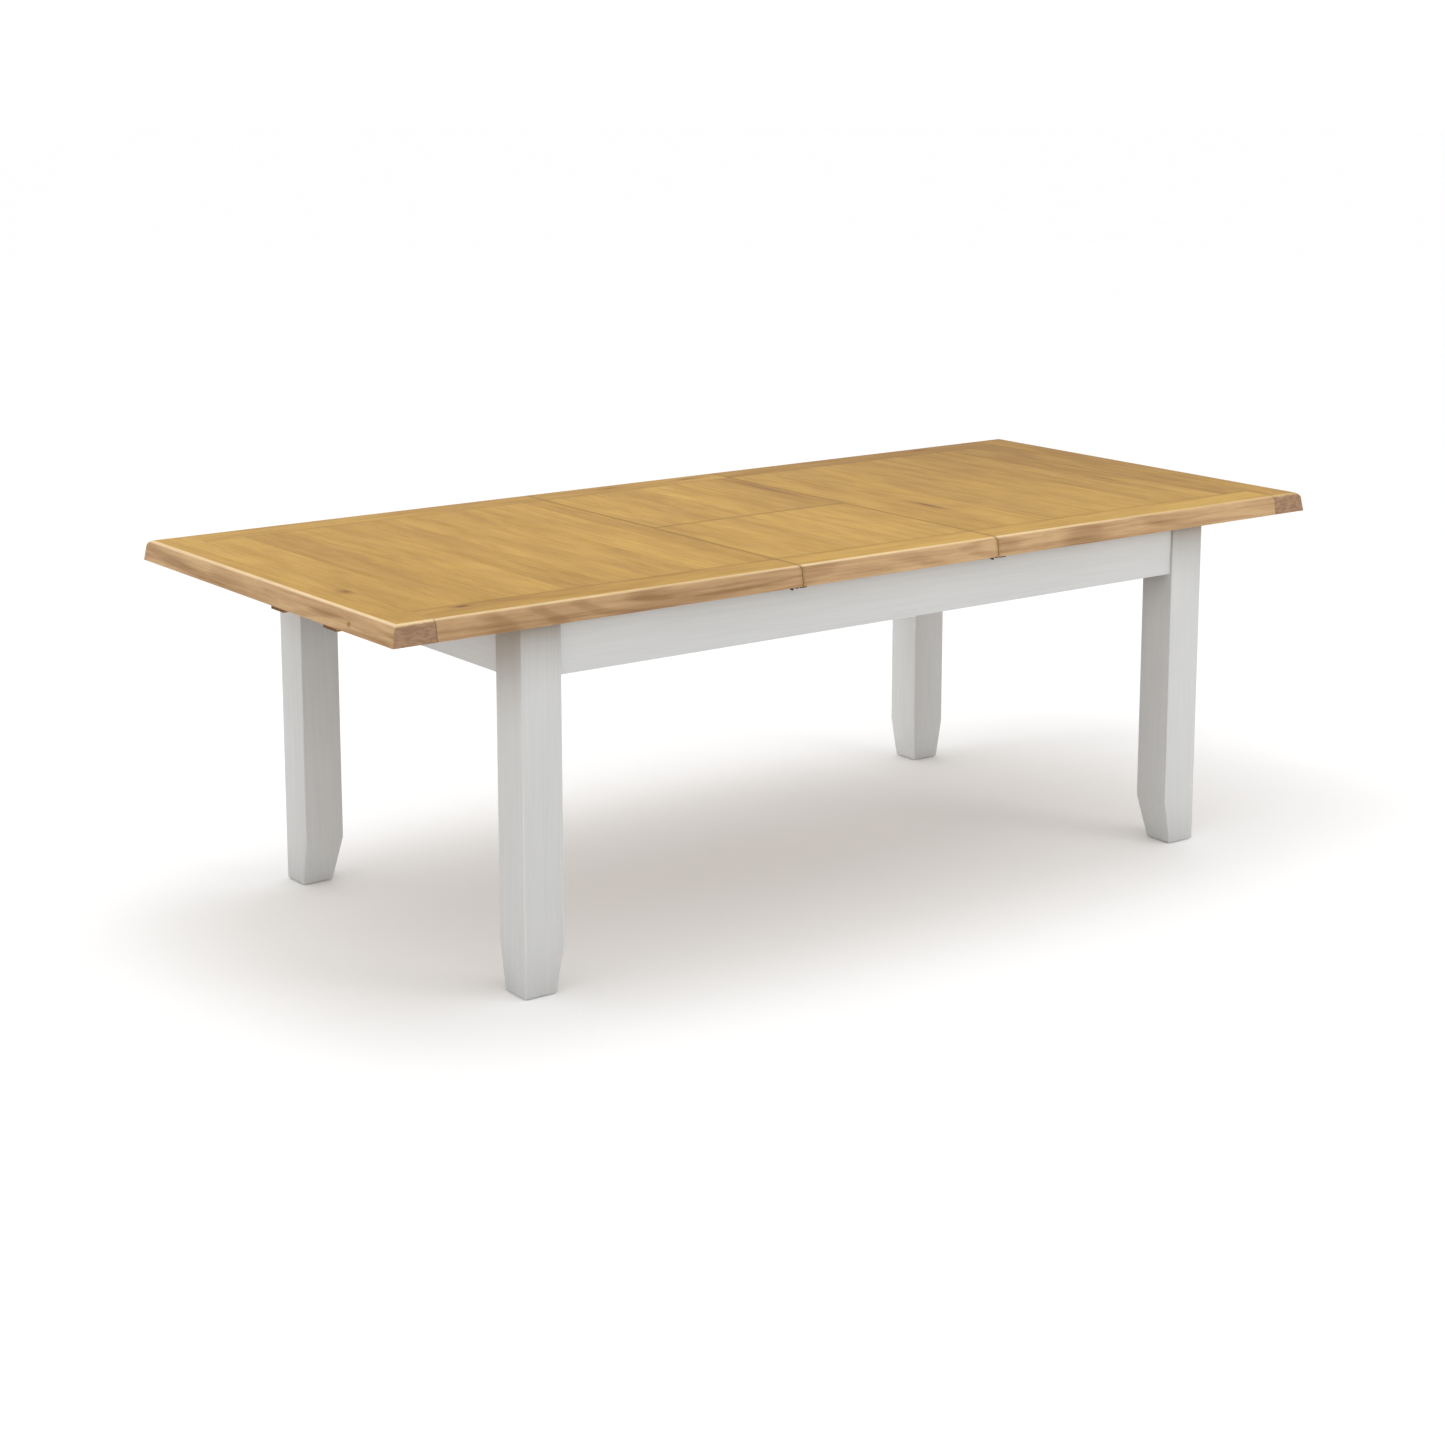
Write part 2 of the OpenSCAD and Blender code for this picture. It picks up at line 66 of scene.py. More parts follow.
# ---------------------------------------------------------------- camera and light

CAMERA_PLACE = (-3.48655, -4.62340, 1.79450)
CAMERA_TURN = 36.4303  # degrees clockwise of straight ahead, seen from above
CAMERA_DROP = 10.9224  # degrees below level


def make_camera():
    """Standing off the front left corner at eye height, looking a little down. A small
    drop of the lens keeps the legs nearly upright in the picture."""
    lens = bpy.data.cameras.new("camera")
    lens.lens = 69.660
    lens.sensor_width = 36.0
    lens.shift_y = -0.12
    lens.clip_end = 200.0
    camera = bpy.data.objects.new("camera", lens)
    camera.location = CAMERA_PLACE
    camera.rotation_euler = (
        math.radians(90.0 - CAMERA_DROP), 0.0, math.radians(-CAMERA_TURN)
    )
    bpy.context.scene.collection.objects.link(camera)
    bpy.context.scene.camera = camera


# Each light's place, what it faces, the length of its side, its power in watts and the
# spread of its beam in degrees, which a honeycomb grid narrows.
LIGHTS = {
    "softbox_front": ((3.0, -4.7, 2.0), (0.3, 0.0, 0.4), 2.0, 40.0, 180.0),
    "softbox_left": ((-5.0, -1.0, 0.9), (0.0, 0.0, 0.4), 1.6, 15.0, 180.0),
    "softbox_above": ((-0.6, 0.3, 3.6), (-0.2, 0.0, 0.7), 1.6, 22.0, 180.0),
    "gridded_low": ((-4.0, 1.9, 0.45), (0.8, 0.47, 0.16), 0.5, 0.42, 12.0),
}
ROOM_STRENGTH = 1.06


def make_light(name, place, aim, size, power, beam):
    """A square light at place, turned to face aim."""
    lamp = bpy.data.lights.new(name, "AREA")
    lamp.shape = "SQUARE"
    lamp.size = size
    lamp.energy = power
    lamp.spread = math.radians(beam)
    holder = bpy.data.objects.new(name, lamp)
    x, y, z = (there - here for there, here in zip(aim, place))
    holder.location = place
    holder.rotation_euler = (math.atan2(math.hypot(x, y), -z), 0.0, math.atan2(-x, y))
    bpy.context.scene.collection.objects.link(holder)


def make_studio():
    """A white room, three softboxes, and a small gridded light low at the back left."""
    world = bpy.data.worlds.new("white_room")
    world.use_nodes = True
    room = world.node_tree.nodes["Background"]
    room.inputs["Color"].default_value = (1.0, 1.0, 1.0, 1.0)
    room.inputs["Strength"].default_value = ROOM_STRENGTH
    bpy.context.scene.world = world
    bpy.context.scene.view_settings.view_transform = "Standard"
    for name, light in LIGHTS.items():
        make_light(name, *light)


# ---------------------------------------------------------------- surfaces

SHARP = math.radians(35)  # arrises sharper than this are eased
FLAT = math.radians(0.5)  # faces that meet more flatly than this are one face
SAME_POINT = 1e-6
BEVEL_STEPS = 2

# How wide a bevel eases each kind of arris.
BOARD_EASE = 0.0006
PLANK_EASE = 0.0004
STRIP_EASE = 0.0005
APRON_EASE = 0.0009
RUNNER_EASE = 0.0012
RAIL_EASE = 0.0010
BLOCK_EASE = 0.0008


def loft(rings):
    """A closed shell through rings of points. Point (i, j) is point j of ring i, each
    quad joins (i, j), (i, j + 1), (i + 1, j + 1), (i + 1, j), and a flat face closes
    each end. The faces are turned over if the shell's signed volume is negative."""
    rings = np.asarray(rings, float)
    count, around, _ = rings.shape
    points = rings.reshape(-1, 3)
    i, j = np.meshgrid(np.arange(count - 1), np.arange(around), indexing="ij")
    k = (j + 1) % around
    quads = np.stack(
        [i * around + j, i * around + k, (i + 1) * around + k, (i + 1) * around + j], -1
    ).reshape(-1, 4)
    first = np.arange(around)[::-1]
    last = (count - 1) * around + np.arange(around)

    def swept(a, b, c):
        return np.einsum("ij,ij->i", points[a], np.cross(points[b], points[c])).sum()

    volume = swept(quads[:, 0], quads[:, 1], quads[:, 2])
    volume += swept(quads[:, 0], quads[:, 2], quads[:, 3])
    for cap in (first, last):
        volume += swept(np.full(around - 2, cap[0]), cap[1:-1], cap[2:])
    faces = quads.tolist() + [first.tolist(), last.tolist()]
    if volume < 0:
        faces = [face[::-1] for face in faces]
    return points, faces


def make_piece(name, shells, material, body, stands_for, ease, marks):
    """One piece from closed shells. marks gives its per-point numbers, each a list with
    one entry for each shell, a number or an array. A bevel eases its sharp arrises."""
    points, faces, start = [], [], 0
    for shell_points, shell_faces in shells:
        points.append(shell_points)
        faces += [[start + n for n in face] for face in shell_faces]
        start += len(shell_points)
    mesh = bpy.data.meshes.new(name)
    mesh.from_pydata(np.concatenate(points).tolist(), [], faces)
    mesh.update()
    for mark, values in marks.items():
        column = np.concatenate(
            [np.broadcast_to(value, len(p)) for value, p in zip(values, points)]
        )
        layer = mesh.attributes.new(mark, "FLOAT", "POINT")
        layer.data.foreach_set("value", column.astype(np.float32))
    finish_piece(name, mesh, material, body, stands_for, ease)


def finish_piece(name, mesh, material, body, stands_for, ease):
    """Puts the mesh in the scene with its finish, its eased arrises and its body."""
    mesh.materials.clear()
    mesh.materials.append(material)
    piece = bpy.data.objects.new(name, mesh)
    bpy.context.scene.collection.objects.link(piece)
    if ease:
        bevel = piece.modifiers.new("eased_arrises", "BEVEL")
        bevel.width = ease
        bevel.segments = BEVEL_STEPS
        bevel.limit_method = "ANGLE"
        bevel.angle_limit = SHARP
        bevel.harden_normals = True
    mesh.polygons.foreach_set("use_smooth", [True] * len(mesh.polygons))
    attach(piece, body)
    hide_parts(*stands_for)


def ease_node(node, material, ease, grain=0.0):
    """The CAD solid again with its arrises eased: a copy of its mesh is merged and its
    flat faces joined, and a small bevel finishes it."""
    source = frame["nodes"][node]
    mesh = source.data.copy()
    mesh.name = f"{node}_eased"
    work = bmesh.new()
    work.from_mesh(mesh)
    bmesh.ops.remove_doubles(work, verts=work.verts, dist=SAME_POINT)
    bmesh.ops.dissolve_limit(
        work, angle_limit=FLAT, verts=work.verts, edges=work.edges
    )
    work.to_mesh(mesh)
    work.free()
    layer = mesh.attributes.new("grain", "FLOAT", "POINT")
    layer.data.foreach_set("value", np.full(len(mesh.vertices), grain, np.float32))
    finish_piece(f"{node}_eased", mesh, material, source["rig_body"], [node], ease)


# ---------------------------------------------------------------- finishes


class Finish:
    """A finish while it is built: its nodes, and short ways to add and join them."""

    def __init__(self, name):
        self.material = bpy.data.materials.new(name)
        self.material.use_nodes = True
        self.tree = self.material.node_tree
        self.shader = self.tree.nodes["Principled BSDF"]

    def join(self, socket, value):
        if isinstance(value, bpy.types.NodeSocket):
            self.tree.links.new(value, socket)
        elif isinstance(value, tuple) and len(value) == 3 and socket.type == "RGBA":
            socket.default_value = (*value, 1.0)
        else:
            socket.default_value = value

    def math(self, operation, *values, clamp=False):
        node = self.tree.nodes.new("ShaderNodeMath")
        node.operation = operation
        node.use_clamp = clamp
        for socket, value in zip(node.inputs, values):
            self.join(socket, value)
        return node.outputs[0]

    def spread(self, value, low, high, to_low=0.0, to_high=1.0):
        """value from low..high to to_low..to_high, with a soft start and end."""
        node = self.tree.nodes.new("ShaderNodeMapRange")
        node.interpolation_type = "SMOOTHSTEP"
        for socket, number in zip(node.inputs, (value, low, high, to_low, to_high)):
            self.join(socket, number)
        return node.outputs["Result"]

    def blend(self, amount, first, second):
        """The first colour where amount is 0, turning to the second where it is 1."""
        node = self.tree.nodes.new("ShaderNodeMix")
        node.data_type = "RGBA"
        colours = [socket for socket in node.inputs if socket.type == "RGBA"]
        for socket, value in zip((node.inputs[0], *colours), (amount, first, second)):
            self.join(socket, value)
        return next(socket for socket in node.outputs if socket.type == "RGBA")

    def vector(self, x, y, z):
        node = self.tree.nodes.new("ShaderNodeCombineXYZ")
        for socket, value in zip(node.inputs, (x, y, z)):
            self.join(socket, value)
        return node.outputs[0]

    def split(self, vector):
        node = self.tree.nodes.new("ShaderNodeSeparateXYZ")
        self.tree.links.new(vector, node.inputs[0])
        return node.outputs[0], node.outputs[1], node.outputs[2]

    def noise(self, where, detail=2.0, roughness=0.5, distortion=0.0):
        """A cloud of about one lump to each unit of where."""
        node = self.tree.nodes.new("ShaderNodeTexNoise")
        self.tree.links.new(where, node.inputs["Vector"])
        node.inputs["Scale"].default_value = 1.0
        node.inputs["Detail"].default_value = detail
        node.inputs["Roughness"].default_value = roughness
        node.inputs["Distortion"].default_value = distortion
        return node.outputs["Fac"]

    def stretched(self, steps, *per_metre):
        """A place on the piece, scaled by a number of features a metre each way."""
        return self.vector(
            *(self.math("MULTIPLY", step, rate) for step, rate in zip(steps, per_metre))
        )

    def place(self):
        """The place on the piece, and which way its surface faces."""
        node = self.tree.nodes.new("ShaderNodeTexCoord")
        return node.outputs["Object"], node.outputs["Normal"]

    def mark(self, name):
        """A per-point number of the piece, 0 on a piece that hasn't got it."""
        node = self.tree.nodes.new("ShaderNodeAttribute")
        node.attribute_type = "GEOMETRY"
        node.attribute_name = name
        return node.outputs["Fac"]

    def bump(self, height, strength, distance):
        node = self.tree.nodes.new("ShaderNodeBump")
        self.join(node.inputs["Strength"], strength)
        self.join(node.inputs["Distance"], distance)
        self.tree.links.new(height, node.inputs["Height"])
        self.tree.links.new(node.outputs["Normal"], self.shader.inputs["Normal"])


def tinted(colour, amount):
    return tuple(min(1.0, part * amount) for part in colour)


OAK_LIGHT = (0.515, 0.318, 0.086)
OAK_DARK = (0.312, 0.174, 0.052)
OAK_EDGE_LIGHT = (0.515, 0.338, 0.180)
OAK_EDGE_DARK = (0.275, 0.158, 0.078)
# Painted highlight: the pale colour of the lamps' sheen along the top's round-over, not
# wear.
OAK_PAINTED_HIGHLIGHT = (0.84, 0.66, 0.42)
OAK_END = (0.308, 0.190, 0.115)
OAK_KNOT = (0.120, 0.058, 0.027)
OAK_STAIN = (0.280, 0.140, 0.050)
FRAME_LIGHT = (0.36, 0.22, 0.11)
FRAME_DARK = (0.23, 0.13, 0.06)

# Features a metre in each layer of the grain, along it and then each way across it.
BROAD = (1.3, 6.0, 6.0)
FIGURE = (0.8, 7.0, 7.0)
DAPPLE = (7.0, 34.0, 34.0)
STREAK = (3.4, 120.0, 120.0)
PORE = (26.0, 950.0, 950.0)
RING = (2.0, 60.0, 220.0)
SPECK = (3.0, 620.0, 620.0)
LINE_RADIANS = 95.0  # of growth lines, from the figure's lowest place to its highest
GRAIN_SHIFT = (7.31, 1.93, 0.57)  # metres that one whole step of grain moves a board

# The part of each noise that is spread over 0 to 1.
BROAD_RANGE = (0.3, 0.7)
LINE_RANGE = (-0.2, 1.0)
DAPPLE_RANGE = (0.36, 0.66)
STREAK_RANGE = (0.38, 0.72)
PORE_RANGE = (0.52, 0.74)
RING_RANGE = (0.35, 0.65)
SPECK_RANGE = (0.5, 0.72)

# How much each layer darkens the wood, and where on the table the drift grows.
BROAD_SHARE = 0.34
LAYER_SHARES = {"lines": 0.08, "dapple": 0.26, "streaks": 0.13}
DRIFT_ALONG = (0.1, 1.15)
DRIFT_ACROSS = (-0.4, 0.5)

# By how much a face looks up, from 0 if it is upright to 1 if it is level: where the
# edge's colour comes in, where the painted highlight on the round-over comes in, and where
# it goes again.
EDGE_SHOWS = (0.97, 0.80)
HIGHLIGHT_STARTS = (0.70, 0.90)
HIGHLIGHT_ENDS = (1.0, 0.975)

# Where stains and hearts of knots come in, in units of the knot's reach, and where the
# shades and lines of joints do, in metres.
KNOT_STAIN = (2.2, 0.6)
KNOT_HEART = (1.0, 0.45)
JOINT_SHADE = (0.0100, 0.0010)
JOINT_LINE = (0.0018, 0.0006)

SQUARE_TO_GRAIN = (0.70, 0.76)  # where end grain comes in, 1 being dead square
LACQUER_SHEEN = 0.012


def grain_first(run):
    """The three axes, with the one along the grain first."""
    return [run] + [axis for axis in (0, 1, 2) if axis != run]


def grain_layers(wood, steps):
    """The layers of sawn grain, each from 0 to 1. Growth lines are the level lines of a
    noise stretched along the board, so they close into long arches."""
    broad = wood.noise(wood.stretched(steps, *BROAD), 2.0)
    figure = wood.noise(wood.stretched(steps, *FIGURE), 1.5, 0.45)
    waves = wood.math("SINE", wood.math("MULTIPLY", figure, LINE_RADIANS))
    dapple = wood.noise(wood.stretched(steps, *DAPPLE), 3.0)
    streaks = wood.noise(wood.stretched(steps, *STREAK), 3.0, 0.6)
    pores = wood.noise(wood.stretched(steps, *PORE), 2.0, 0.6)
    return {
        "broad": broad,
        "lines": wood.spread(waves, *LINE_RANGE),
        "dapple": wood.spread(dapple, *DAPPLE_RANGE),
        "streaks": wood.spread(streaks, *STREAK_RANGE),
        "pores": wood.spread(pores, *PORE_RANGE),
    }


def grain_depth(wood, layers, parts, drift):
    """How dark the wood is, from 0 to 1: a share of each layer, a slow drift towards
    the back right corner of the table, and the board's own tone."""
    broad = wood.spread(layers["broad"], *BROAD_RANGE)
    depth = wood.math("MULTIPLY", broad, BROAD_SHARE)
    for layer, share in LAYER_SHARES.items():
        depth = wood.math("MULTIPLY_ADD", layers[layer], share, depth)
    if drift:
        rightward = wood.spread(parts[0], *DRIFT_ALONG)
        backward = wood.spread(parts[1], *DRIFT_ACROSS)
        corner = wood.math("MULTIPLY", rightward, backward)
        depth = wood.math("MULTIPLY_ADD", corner, drift, depth)
    return wood.math("ADD", depth, wood.mark("tone"), clamp=True)


def paint_edge(wood, colour, layers, depth, parts, upward, edge):
    """Turns upright faces to the edge's light and dark, with plainer lines and streaks,
    and paints a pale highlight onto the round-over above them, most on the left of the
    table."""
    slope = wood.math("ABSOLUTE", upward)
    plain = wood.math("MULTIPLY", layers["streaks"], 0.34)
    plain = wood.math("MULTIPLY_ADD", layers["lines"], 0.22, plain)
    depth = wood.math("ADD", wood.math("SUBTRACT", depth, 0.14), plain, clamp=True)
    upright = wood.spread(slope, *EDGE_SHOWS)
    colour = wood.blend(upright, colour, wood.blend(depth, *edge))
    # Painted highlight on the round-over, standing in for the lamps' sheen, strongest on
    # the left of the table.
    highlight = wood.spread(slope, *HIGHLIGHT_STARTS)
    for share in (
        wood.spread(slope, *HIGHLIGHT_ENDS),
        wood.spread(layers["broad"], 0.25, 0.6, 0.4, 0.72),
        wood.spread(parts[0], 0.95, 0.1, 0.45, 1.0),
    ):
        highlight = wood.math("MULTIPLY", highlight, share)
    return wood.blend(highlight, colour, OAK_PAINTED_HIGHLIGHT)


def paint_knot(wood, colour, streaks, parts, middle, reach, strength):
    """A dark heart in an oval stain, by the distance from middle in units of reach,
    made ragged by the streaks."""
    squares = [
        wood.math("POWER", wood.math("DIVIDE", wood.math("SUBTRACT", part, m), r), 2.0)
        for part, m, r in zip(parts, middle, reach)
    ]
    far = wood.math("ADD", wood.math("ADD", squares[0], squares[1]), squares[2])
    far = wood.math("MULTIPLY_ADD", streaks, 0.4, wood.math("SQRT", far))
    stain = wood.spread(far, *KNOT_STAIN, 0.0, min(1.0, 1.3 * strength))
    heart = wood.spread(far, *KNOT_HEART, 0.0, strength)
    return wood.blend(heart, wood.blend(stain, colour, OAK_STAIN), OAK_KNOT)


def paint_seam(wood, colour, dark, parts, axis, distance, strength):
    """A fine dark line in a soft shade, on both planes that lie at distance from the
    table's middle along axis."""
    off = wood.math("SUBTRACT", wood.math("ABSOLUTE", parts[axis]), distance)
    off = wood.math("ABSOLUTE", off)
    shade = wood.spread(off, *JOINT_SHADE, 0.0, 0.6 * strength)
    line = wood.spread(off, *JOINT_LINE, 0.0, strength)
    colour = wood.blend(shade, colour, tinted(dark, 0.7))
    return wood.blend(line, colour, tinted(dark, 0.35))


def paint_end_grain(wood, colour, steps, along, end):
    """Turns faces square to the grain to growth rings and the specks of cut pores."""
    rings = wood.noise(wood.stretched(steps, *RING), 2.0, 0.5, 0.4)
    rings = wood.spread(rings, *RING_RANGE, 0.0, 0.7)
    specks = wood.noise(wood.stretched(steps, *SPECK), 2.0, 0.6)
    specks = wood.spread(specks, *SPECK_RANGE, 0.0, 0.5)
    ringed = wood.blend(rings, tinted(end, 1.15), tinted(end, 0.72))
    square = wood.spread(wood.math("ABSOLUTE", along), *SQUARE_TO_GRAIN)
    return wood.blend(square, colour, wood.blend(specks, ringed, tinted(end, 0.5)))


def make_wood(
    name, run, light, dark, end, roughness=0.46, edge=None, knots=(), seams=(), drift=0.0
):
    """Sawn and sanded timber whose grain runs along axis run.

    The mark grain moves each board to its own part of the pattern, and the mark tone
    makes it darker or, below 0, lighter. end is the colour of end grain, edge the light
    and dark of upright faces, knots are (place, half lengths, strength), and seams are
    (axis, distance from the middle, strength)."""
    wood = Finish(name)
    where, facing = wood.place()
    parts, turned = wood.split(where), wood.split(facing)
    grain = wood.mark("grain")
    steps = tuple(
        wood.math("ADD", parts[axis], wood.math("MULTIPLY", grain, shift))
        for axis, shift in zip(grain_first(run), GRAIN_SHIFT)
    )
    layers = grain_layers(wood, steps)
    streaks, pores = layers["streaks"], layers["pores"]
    depth = grain_depth(wood, layers, parts, drift)
    colour = wood.blend(depth, light, dark)
    if edge:
        colour = paint_edge(wood, colour, layers, depth, parts, turned[2], edge)
    colour = wood.blend(wood.math("MULTIPLY", pores, 0.30), colour, tinted(dark, 0.55))
    for knot in knots:
        colour = paint_knot(wood, colour, streaks, parts, *knot)
    for seam in seams:
        colour = paint_seam(wood, colour, dark, parts, *seam)
    colour = paint_end_grain(wood, colour, steps, turned[run], end)
    wood.join(wood.shader.inputs["Base Color"], colour)
    open_grain = wood.math("ADD", streaks, pores)
    rough = wood.math("MULTIPLY_ADD", open_grain, 0.09, roughness - 0.05)
    wood.join(wood.shader.inputs["Roughness"], rough)
    height = wood.math("MULTIPLY_ADD", pores, -0.8, wood.math("MULTIPLY", streaks, 0.5))
    wood.bump(height, 0.35, 0.0004)
    wood.shader.inputs["Specular IOR Level"].default_value = LACQUER_SHEEN
    return wood.material


PAINT_LIGHT = (0.545, 0.545, 0.538)
PAINT_DARK = (0.500, 0.499, 0.491)
PAINT_SHEEN = 0.4


def make_paint(name, run):
    """Satin warm-grey paint, brushed along axis run over close-grained wood. The mark
    arris is 1 where rubbing has thinned it."""
    paint = Finish(name)
    where, _ = paint.place()
    parts = paint.split(where)
    steps = tuple(parts[axis] for axis in grain_first(run))
    brush = paint.noise(paint.stretched(steps, 5.0, 240.0, 240.0), 3.0, 0.55)
    cloud = paint.noise(paint.stretched(steps, 2.2, 6.0, 6.0), 2.0)
    pores = paint.noise(paint.stretched(steps, 30.0, 700.0, 700.0), 2.0, 0.6)
    pores = paint.spread(pores, 0.55, 0.78)
    depth = paint.math("MULTIPLY", paint.spread(brush, 0.3, 0.7), 0.55)
    depth = paint.math("MULTIPLY_ADD", paint.spread(cloud, 0.3, 0.7), 0.45, depth)
    colour = paint.blend(depth, PAINT_LIGHT, PAINT_DARK)
    patchy = paint.spread(cloud, 0.42, 0.6, 0.15, 0.7)
    rubbed = paint.math("MULTIPLY", paint.mark("arris"), patchy)
    colour = paint.blend(rubbed, colour, tinted(PAINT_LIGHT, 1.1))
    paint.join(paint.shader.inputs["Base Color"], colour)
    rough = paint.math("MULTIPLY_ADD", brush, 0.16, 0.38)
    paint.join(paint.shader.inputs["Roughness"], rough)
    paint.bump(paint.math("MULTIPLY_ADD", pores, -0.5, brush), 0.4, 0.0003)
    paint.shader.inputs["Specular IOR Level"].default_value = PAINT_SHEEN
    return paint.material


def make_metal(name, bright, dull, roughness, metal):
    """Plated metal: cloudy tone, fine scratches and a little tarnish."""
    plate = Finish(name)
    where, _ = plate.place()
    steps = plate.split(where)
    cloud = plate.noise(plate.stretched(steps, 90.0, 90.0, 90.0), 3.0, 0.6)
    scratch = plate.noise(plate.stretched(steps, 260.0, 2600.0, 900.0), 2.0, 0.6)
    colour = plate.blend(plate.spread(cloud, 0.35, 0.68), bright, dull)
    plate.join(plate.shader.inputs["Base Color"], colour)
    rough = plate.math("MULTIPLY_ADD", scratch, 0.18, roughness - 0.06)
    rough = plate.math("MULTIPLY_ADD", cloud, 0.12, rough)
    plate.join(plate.shader.inputs["Roughness"], rough)
    plate.shader.inputs["Metallic"].default_value = metal
    plate.bump(scratch, 0.15, 0.0001)
    return plate.material


def make_plastic(name, colour, roughness):
    """Moulded plastic with a fine spark-eroded grain and scuffs."""
    plastic = Finish(name)
    where, _ = plastic.place()
    steps = plastic.split(where)
    grain = plastic.noise(plastic.stretched(steps, 1400.0, 1400.0, 1400.0), 2.0, 0.6)
    scuff = plastic.noise(plastic.stretched(steps, 40.0, 260.0, 260.0), 2.0, 0.6)
    scuffed = plastic.blend(plastic.spread(scuff, 0.45, 0.75), colour, tinted(colour, 0.86))
    plastic.join(plastic.shader.inputs["Base Color"], scuffed)
    rough = plastic.math("MULTIPLY_ADD", scuff, 0.2, roughness - 0.08)
    plastic.join(plastic.shader.inputs["Roughness"], rough)
    plastic.bump(grain, 0.25, 0.0001)
    return plastic.material


# ---------------------------------------------------------------- the oak top

EDGE_LEAN = 0.004
ROUND_OVER = 0.014
EDGE_THICKNESS = 0.040
CORNER = 0.0022


def moulded_edge(steps=9):
    """The edge from foot to top as (set-in, height): a straight face that leans in by
    EDGE_LEAN, then a quarter circle of radius ROUND_OVER."""
    foot = TABLE_HEIGHT - EDGE_THICKNESS
    centre = TABLE_HEIGHT - ROUND_OVER
    turn = np.linspace(0.0, np.pi / 2, steps)
    inset = EDGE_LEAN + ROUND_OVER * (1 - np.cos(turn))
    arc = np.column_stack([inset, centre + ROUND_OVER * np.sin(turn)])
    face = np.array([[0.0, foot], [EDGE_LEAN / 2, (foot + centre) / 2]])
    return np.concatenate([face, arc])


def rounded_outline(low, high, steps):
    """A rectangle from low to high whose corners are quarter circles of radius CORNER,
    each of steps points, anticlockwise from the far right."""
    turn = np.linspace(0.0, np.pi / 2, steps)
    near_x, near_y = low[0] + CORNER, low[1] + CORNER
    far_x, far_y = high[0] - CORNER, high[1] - CORNER
    centres = ((far_x, far_y), (near_x, far_y), (near_x, near_y), (far_x, near_y))
    corners = []
    for quarter, (x, y) in enumerate(centres):
        angle = turn + quarter * np.pi / 2
        corners.append(
            np.column_stack([x + CORNER * np.cos(angle), y + CORNER * np.sin(angle)])
        )
    return np.concatenate(corners)


def end_board(side):
    """The clamped end board: its outline, set in on the three outer edges as the
    moulded edge climbs, with softly rounded corners."""
    low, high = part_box(f"{side}_end_board")
    rings = []
    for inset, height in moulded_edge():
        left = low.x + (inset if side == "left" else 0.0)
        right = high.x - (inset if side == "right" else 0.0)
        outline = rounded_outline((left, low.y + inset), (right, high.y - inset), 4)
        rings.append(np.column_stack([outline, np.full(len(outline), height)]))
    return loft(rings)


def edge_rail(node):
    """A rail along the long side: the moulded edge carried from one end to the other."""
    low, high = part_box(node)
    profile = moulded_edge()
    front = "front" in node
    outer, inner = (low.y, high.y) if front else (high.y, low.y)
    towards = 1.0 if front else -1.0
    moulded = np.column_stack([outer + towards * profile[:, 0], profile[:, 1]])
    back = [[inner, TABLE_HEIGHT], [inner, TABLE_HEIGHT - EDGE_THICKNESS]]
    section = np.concatenate([moulded, back])
    ends = [np.column_stack([np.full(len(section), x), section]) for x in (low.x, high.x)]
    return loft(ends)


def plank(low, high):
    """One plank of a panel: a rectangle carried up through its thickness."""
    outline = np.array(
        [[low[0], low[1]], [high[0], low[1]], [high[0], high[1]], [low[0], high[1]]]
    )
    return loft([np.column_stack([outline, np.full(4, z)]) for z in (low[2], high[2])])


def planked_panel(node, joints, tones, material, body):
    """Planks glued side by side between the joints, each with its own grain and tone."""
    low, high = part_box(node)
    sides = [low.x, *joints, high.x]
    shells = [
        plank((left, low.y, low.z), (right, high.y, high.z))
        for left, right in zip(sides, sides[1:])
    ]
    seed = sum(ord(letter) for letter in node)
    grains = np.random.default_rng(seed).uniform(0.0, 9.0, len(shells))
    make_piece(
        f"{node}_planks", shells, material, body, [node], PLANK_EASE,
        {"grain": grains, "tone": tones},
    )


# The joints in the oak as (axis, distance from the middle, strength): between the
# panels and the long rails, at the end boards, at the leaf's two sides, at its fold.
RAIL_JOINT = (1, 0.41, 0.3)
END_JOINT = (0, 1.06, 0.15)
LEAF_JOINT = (0, 0.25, 0.55)
FOLD_JOINT = (1, 0.0, 0.55)

# Knots in each finish, as (place, half lengths, strength).
RIGHT_PANEL_KNOTS = (((0.378, -0.13, TABLE_HEIGHT), (0.009, 0.06, 0.02), 0.5),)
LEAF_KNOTS = (((0.226, 0.25, TABLE_HEIGHT), (0.016, 0.17, 0.02), 0.35),)
LEFT_END_KNOTS = (
    ((-1.15, -0.34, 0.726), (0.02, 0.006, 0.004), 0.5),
    ((-1.07, -0.19, TABLE_HEIGHT), (0.012, 0.02, 0.02), 0.45),
)
RAIL_KNOTS = (
    ((-0.965, -0.425, TABLE_HEIGHT), (0.016, 0.006, 0.02), 0.9),
    ((0.16, 0.455, TABLE_HEIGHT), (0.03, 0.007, 0.02), 0.5),
    ((0.85, 0.46, TABLE_HEIGHT), (0.035, 0.008, 0.02), 0.6),
    ((-0.05, 0.455, TABLE_HEIGHT), (0.03, 0.007, 0.02), 0.4),
)

# How much darker than the common tone each rail is, or, below 0, how much lighter.
RAIL_TONES = {
    "left_front_rail": 0.24,
    "left_back_rail": 0.14,
    "right_front_rail": -0.20,
    "right_back_rail": 0.32,
    "leaf_front_rail": -0.08,
    "leaf_back_rail": 0.10,
}

